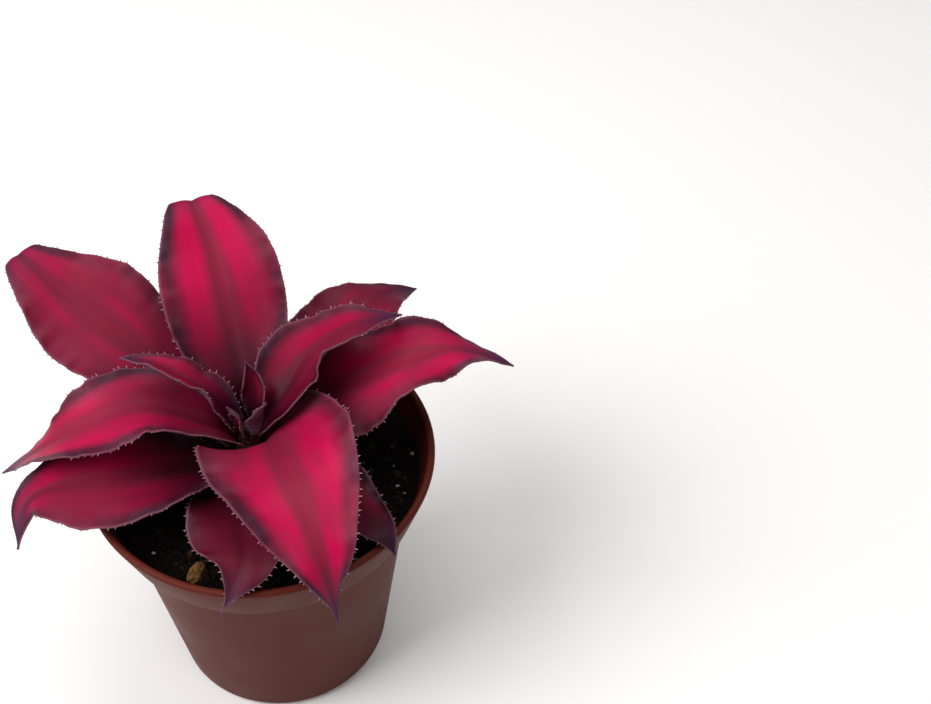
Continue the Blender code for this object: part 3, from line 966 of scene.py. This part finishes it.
@dataclass(frozen=True)
class Pot:
    """Moulded nursery pot. The rim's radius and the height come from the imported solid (mm)."""

    rim_radius: float
    height: float
    rim_inner: float = 48.7
    band_height: float = 17.3
    band_low: float = 46.1
    body_top: float = 42.8
    body_foot: float = 33.3
    foot_fillet: float = 3.8
    foot_flare: float = 0.5
    wall: float = 1.5
    lip: float = 1.15
    step: float = 1.2
    holes: int = 8
    hole_radius: float = 3.2
    hole_circle: float = 23.0
    hole_sides: int = 24
    soften: float = 0.45
    sides: int = 192

    def inner_wall(self, clear: float) -> list[Point]:
        """Profile of the inside from the mouth to the floor, moved inwards by a clearance (mm)."""
        band_foot = self.height - self.band_height
        return [
            (self.rim_inner - clear, self.height - self.lip),
            (self.band_low - self.wall - clear, band_foot + self.step + self.wall + clear),
            (self.body_top - self.wall - clear, band_foot + self.wall + clear),
            (self.body_foot - self.wall - clear, self.foot_fillet),
            (self.body_foot - self.foot_fillet - clear, self.wall + clear),
            (0.0, self.wall + clear),
        ]

    def profile(self) -> list[Point]:
        """Profile of the whole pot from the middle of its underside, over the lip, to its floor (mm)."""
        band_foot = self.height - self.band_height
        foot = (self.body_foot - self.foot_fillet + self.foot_flare, self.foot_fillet)
        neck, shelf = (self.body_top, band_foot), (self.band_low, band_foot + self.step)
        lip_foot = (self.rim_radius - self.lip, self.height - self.lip)
        points = [(0.0, 0.0), *arc(foot, self.foot_fillet, -90, -8, 12)]
        points += rounded(neck, points[-1], shelf, self.soften)
        points += rounded(shelf, neck, lip_foot, self.soften)
        points += arc(lip_foot, self.lip, -10, 170, 14)
        return points + self.inner_wall(0.0)[1:]

    def build(self, material: bpy.types.Material) -> bpy.types.Object:
        """Builds the pot and cuts its drainage holes.

        Args:
            material: the pot's plastic.

        Returns:
            The finished piece.
        """
        piece = new_piece("pot_shell", turned("pot_shell", self.profile(), self.sides), material)
        drill = bmesh.new()
        for k in range(self.holes):
            angle = math.tau * (k + 0.5) / self.holes
            hole = bmesh.ops.create_cone(
                drill, cap_ends=True, segments=self.hole_sides, radius1=self.hole_radius * MM,
                radius2=self.hole_radius * MM, depth=4 * self.wall * MM)
            place = Vector((math.cos(angle), math.sin(angle), 0)) * (self.hole_circle * MM)
            bmesh.ops.translate(drill, verts=hole["verts"], vec=place)
        cutter = new_piece("drain_drill", mesh_data("drain_drill", drill))
        cut = piece.modifiers.new("drains", "BOOLEAN")
        cut.operation = "DIFFERENCE"
        cut.object = cutter
        applied(piece)
        bpy.data.objects.remove(cutter)
        return piece


def arc(centre: Point, radius: float, start: float, end: float, steps: int) -> list[Point]:
    """Points on an arc.

    Args:
        centre: middle of the arc (radius, height).
        radius: of the arc.
        start: first angle from outward (degrees).
        end: last angle (degrees).
        steps: how many pieces it has.

    Returns:
        The points, first to last.
    """
    angles = [math.radians(start + (end - start) * k / steps) for k in range(steps + 1)]
    return [(centre[0] + radius * math.cos(a), centre[1] + radius * math.sin(a)) for a in angles]


def rounded(corner: Point, before: Point, after: Point, size: float) -> list[Point]:
    """Softens a corner of a profile.

    Args:
        corner: the corner point.
        before: the profile's point before it.
        after: the profile's point after it.
        size: how far from the corner the bend starts.

    Returns:
        Five points of a smooth bend.
    """
    middle, start, end = Vector(corner), Vector(before), Vector(after)
    start = middle + (start - middle).normalized() * size
    end = middle + (end - middle).normalized() * size
    bend = []
    for k in range(5):
        t = k / 4
        point = start * (1 - t) ** 2 + middle * (2 * t * (1 - t)) + end * t**2
        bend.append((point.x, point.y))
    return bend


@dataclass(frozen=True)
class Soil:
    """Peat mix that fills the pot, with crumbs, bark and perlite on it (mm).

    relief, settled: height of its lumps, and how far it lies under its top
    lumps: size, pattern and share of three kinds of lump
    patch_rings, patch_sides: how fine the surface is that bits lie on
    stem_gap, wall_gap: radius kept clear at the stem, and width kept clear at the wall
    bits, chip: place and size of the perlite and the bark chip that the eye picks out
    """

    top: float = 79.0
    relief: float = 1.5
    settled: float = 0.2
    lumps: tuple = ((14, 0, 0.5), (3.4, 3, 0.45), (1.3, 7, 0.25))
    rings: int = 60
    sides: int = 180
    patch_rings: int = 24
    patch_sides: int = 96
    stem_gap: float = 7.0
    wall_gap: float = 5.2
    seed: int = 5
    bits: tuple = ((43.8, 6.8, 0.6), (40.1, -5.5, 0.7), (42.0, -8.5, 0.5), (38.6, 2.1, 0.4))
    chip: tuple = (-14.6, -37.6, 2.4)

    def height(self, x: float, y: float) -> float:
        """Height of the soil's surface at a place, in millimetres."""
        rise = sum(
            share * noise.noise(Vector((x / size, y / size, self.seed + pattern)))
            for size, pattern, share in self.lumps)
        return self.top + self.relief * rise - self.settled

    def build(self, pot: Pot, material: bpy.types.Material) -> bpy.types.Object:
        """Builds the soil's whole body with its lumpy top.

        Args:
            pot: the pot that it fills.
            material: the peat.

        Returns:
            The finished piece.
        """
        wall = pot.inner_wall(0.25)
        share = (self.top - wall[1][1]) / (wall[0][1] - wall[1][1])
        edge = wall[1][0] + (wall[0][0] - wall[1][0]) * share
        profile = [(edge * k / self.rings, self.top) for k in range(self.rings + 1)] + wall[1:]
        data = turned("soil_body", profile, self.sides)
        for vert in data.vertices:
            if vert.co.z > (self.top - 0.01) * MM:
                x, y = vert.co.x / MM, vert.co.y / MM
                vert.co.z = self.height(x, y) * MM
        return new_piece("soil_body", data, material)

    def patch(self, inner: float, outer: float) -> bpy.types.Mesh:
        """Makes an open copy of the soil's surface between two radii, for loose bits to lie on.

        Args:
            inner: inner radius (mm).
            outer: outer radius (mm).

        Returns:
            The surface mesh, in metres.
        """
        mesh = bmesh.new()
        angles = [math.tau * m / self.patch_sides for m in range(self.patch_sides)]
        rows = []
        for k in range(self.patch_rings + 1):
            radius = inner + (outer - inner) * k / self.patch_rings
            spots = [(radius * math.cos(a), radius * math.sin(a)) for a in angles]
            rows.append([mesh.verts.new((x * MM, y * MM, self.height(x, y) * MM)) for x, y in spots])
        for lower, upper in zip(rows, rows[1:]):
            for m in range(self.patch_sides):
                n = (m + 1) % self.patch_sides
                mesh.faces.new((lower[m], upper[m], upper[n], lower[n]))
        return mesh_data("soil_patch", mesh)

    def tree(self) -> bpy.types.NodeTree:
        """Builds the node tree that strews bits over a surface.

        Returns:
            The tree, whose inputs are the surface, the density, three sizes, the seed and the finish.
        """
        tree, given = geometry_tree(
            "soil_litter", Density="Float", Radius="Float", Length="Float", Flatness="Float", Seed="Int",
            Finish="Material")
        add = partial(add_node, tree)
        seed = {"Seed": given["Seed"]}
        spread = {"Mesh": given["Geometry"], "Density": given["Density"], **seed}
        spots = add("GeometryNodeDistributePointsOnFaces", spread)
        ball = add("GeometryNodeMeshIcoSphere", {"Radius": given["Radius"], "Subdivisions": 2})
        where = add("GeometryNodeInputPosition")
        lumps = add("ShaderNodeTexNoise", {"Vector": where, "Scale": 900.0, "Detail": 2.0}).outputs[1]
        centred = add("ShaderNodeVectorMath", {0: lumps, 1: (0.5, 0.5, 0.5)}, operation="SUBTRACT")
        reach = add("ShaderNodeMath", {0: given["Radius"], 1: 1.7}, operation="MULTIPLY")
        push = add("ShaderNodeVectorMath", {0: centred, "Scale": reach}, operation="SCALE")
        lump = add("GeometryNodeSetPosition", {"Geometry": ball, "Offset": push})
        turns = {0: (-0.5, -0.5, 0.0), 1: (0.5, 0.5, math.tau), **seed}
        spin = add("FunctionNodeRandomValue", turns, data_type="FLOAT_VECTOR")
        shape = add("ShaderNodeCombineXYZ", {0: given["Length"], 1: 1.0, 2: given["Flatness"]})
        growth = add("FunctionNodeRandomValue", {2: 0.35, 3: 1.25, **seed}, data_type="FLOAT")
        scale = add("ShaderNodeVectorMath", {0: shape, "Scale": growth}, operation="SCALE")
        copies = {"Points": spots, "Instance": lump, "Rotation": spin, "Scale": scale}
        laid = add("GeometryNodeInstanceOnPoints", copies)
        return dressed_tree(tree, laid, given["Finish"])

    def litter(self, pot: Pot, finishes: dict[Litter, bpy.types.Material]) -> list[bpy.types.Object]:
        """Strews crumbs, bark and perlite over the soil, and lays the few bits that stand out one by one.

        Args:
            pot: the pot, whose wall the bits stay inside.
            finishes: the material of each kind of bit.

        Returns:
            One piece for each kind.
        """
        tree = self.tree()
        pieces = []

        # The radius (mm), the length and the flatness as shares of it, and bits to a square metre
        for kind, radius, length, flatness, density in (
            (Litter.CRUMB, 0.95, 1.25, 0.8, 560000.0),
            (Litter.BARK, 1.0, 2.2, 0.5, 26000.0),
            (Litter.PERLITE, 0.42, 1.0, 0.85, 11000.0),
        ):
            ground = self.patch(self.stem_gap, pot.rim_inner - self.wall_gap)
            values = {
                "Density": density, "Radius": radius * MM, "Length": length, "Flatness": flatness,
                "Seed": self.seed + len(pieces), "Finish": finishes[kind]}
            pieces.append(run_tree(new_piece(f"soil_{kind.value}s", ground), tree, values))
        by_hand = [("perlite_bit", *spot, 1.0, finishes[Litter.PERLITE]) for spot in self.bits]
        by_hand.append(("bark_chip", *self.chip, 1.9, finishes[Litter.CHIP]))
        return pieces + [self.bit(f"{name}_{k}", *values) for k, (name, *values) in enumerate(by_hand)]

    def bit(
        self, name: str, x: float, y: float, size: float, length: float, material: bpy.types.Material
    ) -> bpy.types.Object:
        """Makes one lumpy bit that lies on the soil.

        Args:
            name: the piece's name.
            x, y: its place (mm).
            size: its radius (mm).
            length: how much longer than wide it is.
            material: its finish.

        Returns:
            The finished piece.
        """
        mesh = bmesh.new()
        bmesh.ops.create_icosphere(mesh, subdivisions=3, radius=1.0)
        for vert in mesh.verts:
            bump = 1 + 0.45 * noise.noise(vert.co * 1.4 + Vector((x, y, 0)))
            vert.co = vert.co * Vector((length * bump, bump, 0.7 * bump)) * (size * MM)
        mesh.transform(Matrix.Rotation(x, 4, "Z"))
        mesh.transform(Matrix.Translation(Vector((x, y, self.height(x, y) + 0.25 * size)) * MM))
        data = mesh_data(name, mesh)
        data.shade_smooth()
        return new_piece(name, data, material)


LEAVES = (
    Blade("leaf_rear_low", 81.6, ((-19, 18, 88), (-33, 34, 92), (-46, 50, 92), (-56, 62, 84)), 31,
          (0, 0, 0), (40, 14, 6), (1.8, 3, 20, 200), 0.6, base_width=7.0),
    Blade("leaf_back_low", 83.0, ((8, 24, 88), (19, 42, 93), (31, 58, 95), (43, 70, 88)), 34,
          (0, 0, 0), (40, 14, 6), (1.8, 3, 90, 300), 0.65, base_width=7.0),
    Blade("leaf_right_low", 81.6, ((14, -9, 86), (27, -22, 90), (37, -31, 91), (41, -37, 88)), 23,
          (0, 0, 0), (40, 16, 10), (1.4, 2.5, 0, 150), 0.25),
    Blade("leaf_front_low", 84.5, ((-3, -18, 91), (-0.5, -33, 94), (0.5, -46, 93), (-5.5, -55, 84)), 31,
          (8, 4, 0), (40, 14, 10), (1.8, 2.2, 0, 140), 0.38, widest=0.50, point=2.4),
    Blade("leaf_left_low", 86.2,
          ((-21, -11, 92), (-38, -17, 95), (-53, -18, 93), (-64, -21, 88), (-66, -31, 80)), 39,
          (8, 0, 0), (40, 16, 10), (2.0, 1.6, 290, 100), 0.72, widest=0.40, point=1.6),
    Blade("leaf_upper_left", 87.2,
          ((-23, 15, 95), (-39, 25, 105), (-57, 34, 116), (-73, 43, 125), (-75, 50, 112)), 37,
          (0, -9, -4), (40, 18, 6, -30), (1.6, 3, 36, 180), 0.85, widest=0.55, point=2.0, crease=1.2),
    Blade("leaf_right", 88.6, ((12, 9, 96), (26, 13, 103), (42, 18, 108), (57, 24, 107), (74, 26, 98)), 36,
          (12, 4, 0), (14, 16, 14), (3.4, 3, 90, 220), 1.0, widest=0.32, point=1.4),
    Blade("leaf_top", 90.0,
          ((-7, 17, 102), (-11, 31, 114), (-16, 45, 126), (-23, 59, 134), (-25, 67, 120)), 36,
          (0, 0, 0), (40, 18, 6, -30), (1.6, 3, 0, 180), 0.95, widest=0.45, point=2.0, taper=2.4,
          crease=2.0),
    Blade("leaf_front", 91.2,
          ((5, -8, 101.5), (11, -23, 108), (17, -36, 107), (22.5, -47, 98), (26, -53, 78)), 45,
          (4, 5, 0), (42, 24, 10), (2.2, 3, 40, 280), 1.0, widest=0.26, point=1.8, shoulder=0.7,
          base_width=15.0, shaded_base=0.35),
    Blade("leaf_left", 93.2,
          ((-13, -2, 102), (-30, -1, 108), (-45, -5, 105), (-61, -7, 96), (-76, -5, 82)), 28,
          (0, 0, 0), (46, 22, 10), (2.4, 1.9, 306, 60), 1.0, widest=0.38, point=1.4, base_width=13.0,
          shaded_base=0.7),
    Blade("leaf_inner_right", 94.8,
          ((6, 6, 103), (13, 16, 110), (23, 21, 116), (32, 23, 119), (41, 25, 120)), 26,
          (0, -14, -5), (60, 40, 20), (0.9, 3, 0, 180), 0.62, rows=15, base_width=10.0, shaded_base=0.85),
    Blade("leaf_inner_left", 96.4, ((-12, 4, 106), (-20, 5, 113), (-29, 7, 117), (-38, 8, 118)), 14,
          (0, 20, 10), (30, 45, 30), (0.6, 3, 0, 180), 0.7, base_width=6.0, rows=15, widest=0.42),
    Blade("centre_leaf_a", 97.4, ((-1, 7, 106), (-3, 10, 115)), 8, (0, 0, 0), (16, 50, 30),
          (0.4, 2, 0, 180), 0.35, base_width=3.2, rows=9),
    Blade("centre_leaf_b", 97.4, ((1, -2, 105), (4, -4, 113)), 7,
          (0, 0, 0), (16, 50, 30), (0.4, 2, 0, 180), 0.35, base_width=3.2, rows=9),
    Blade("centre_leaf_c", 97.4, ((-5, -2, 105), (-7, -4, 111)), 5,
          (0, 0, 0), (16, 50, 30), (0.3, 2, 0, 180), 0.35, base_width=3.2, rows=9),
)


@dataclass(frozen=True)
class Rosette:
    """The plant: its stem, its leaves and their spines."""

    stem: Stem
    leaves: tuple[Blade, ...] = LEAVES
    centre_spines: float = 0.55

    def build(self) -> None:
        """Builds and attaches the stem, every leaf and the spines."""
        bark = Earthy("stem_bark", "1A0C0A", "4A2A22", 1.2).make()
        attach(self.stem.build(bark), Slot.STEM, "stem")
        finish = BromeliadLeaf().make()
        margins = []
        for leaf in self.leaves:
            piece, edges = leaf.build(self.stem, finish)
            attach(piece, Slot.LEAF, leaf.name)
            grown = self.centre_spines if leaf.name.startswith("centre") else 1.0
            margins += [(edge, grown) for edge in edges]
        attach(Spines().build(margins, LeafSpine().make()), Slot.LEAF)


@dataclass(frozen=True)
class Studio:
    """Floor, light and camera of the product photo.

    The camera's values were worked out from the pots' rims and bases (metres and degrees).
    """

    camera_place: tuple = (0.0595, -0.265, 0.403)
    camera_pitch: float = 44.2
    camera_roll: float = 0.774
    lens: float = 54.1
    floor_half: float = 3.0
    aim_height: float = 0.08
    room_strength: float = 0.18

    def build(self) -> None:
        """Builds the floor, the lights, the surroundings and the camera."""
        self._floor()
        self._lights()
        self._camera()
        log.info("studio: floor, lights and camera")

    def _floor(self) -> None:
        """Makes the plain pale floor."""
        mesh = bmesh.new()
        bmesh.ops.create_grid(mesh, x_segments=1, y_segments=1, size=self.floor_half)
        material, tree, shader = shader_tree("floor_card", roughness=0.9)
        connect(tree, shader, {"Base Color": "F4F2F0"})
        floor = new_piece("floor", mesh_data("floor", mesh), material)

    def _lights(self) -> None:
        """Makes a large soft light at the left, a weaker one at the right and pale surroundings."""
        for name, place, size, power in (
            ("key_light", (-0.70, -0.32, 0.90), 0.8, 14.0),
            ("fill_light", (0.5, -0.6, 0.9), 0.6, 2.0),
            ("top_light", (0.1, 0.3, 1.1), 0.8, 6.0),
        ):
            lamp = bpy.data.lights.new(name, "AREA")
            lamp.size = size
            lamp.energy = power
            thing = bpy.data.objects.new(name, lamp)
            thing.location = place
            aim = Vector((0, 0, self.aim_height)) - Vector(place)
            thing.rotation_euler = aim.to_track_quat("-Z", "Y").to_euler()
            bpy.context.scene.collection.objects.link(thing)
        world = bpy.data.worlds.new("pale_room")
        world.use_nodes = True
        room = world.node_tree.nodes["Background"]
        connect(world.node_tree, room, {"Color": "FFFFFF", "Strength": self.room_strength})
        bpy.context.scene.world = world
        bpy.context.scene.view_settings.view_transform = "Standard"

    def _camera(self) -> None:
        """Makes the camera at the photo's viewing angle."""
        lens = bpy.data.cameras.new("camera")
        lens.lens = self.lens
        lens.clip_start = 0.01
        camera = bpy.data.objects.new("camera", lens)
        pitch = Matrix.Rotation(math.radians(self.camera_pitch), 4, "X")
        roll = Matrix.Rotation(math.radians(self.camera_roll), 4, "Z")
        camera.matrix_world = Matrix.Translation(self.camera_place) @ pitch @ roll
        bpy.context.scene.collection.objects.link(camera)
        bpy.context.scene.camera = camera


def main() -> None:
    """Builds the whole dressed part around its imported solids."""
    logging.basicConfig(level=logging.INFO, format="%(name)s: %(message)s")
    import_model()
    low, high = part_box("pot")
    pot = Pot(rim_radius=0.5 * (high.x - low.x) / MM, height=high.z / MM)
    plastic = MouldedPlastic().make(pot.height - LIP_HEIGHT, pot.height)
    attach(pot.build(plastic), Slot.POT, "pot")
    soil = Soil()
    attach(soil.build(pot, Earthy("peat", "040202", "140C0A", 1.6, bump=0.9).make()), Slot.SOIL, "soil")
    finishes = {
        Litter.CRUMB: Earthy("peat_crumb", "040202", "150D0A", 1.1).make(),
        Litter.BARK: Earthy("pine_bark", "120A06", "3A2414", 1.4).make(),
        Litter.CHIP: Earthy("split_bark", "3A2614", "8A6238", 1.8).make(),
        Litter.PERLITE: Earthy("perlite", "77736C", "B8B2AA", 0.6, bump=0.8).make(),
    }
    for piece in soil.litter(pot, finishes):
        attach(piece, Slot.SOIL)
    Rosette(Stem()).build()
    Studio().build()


if __name__ == "__main__":
    main()
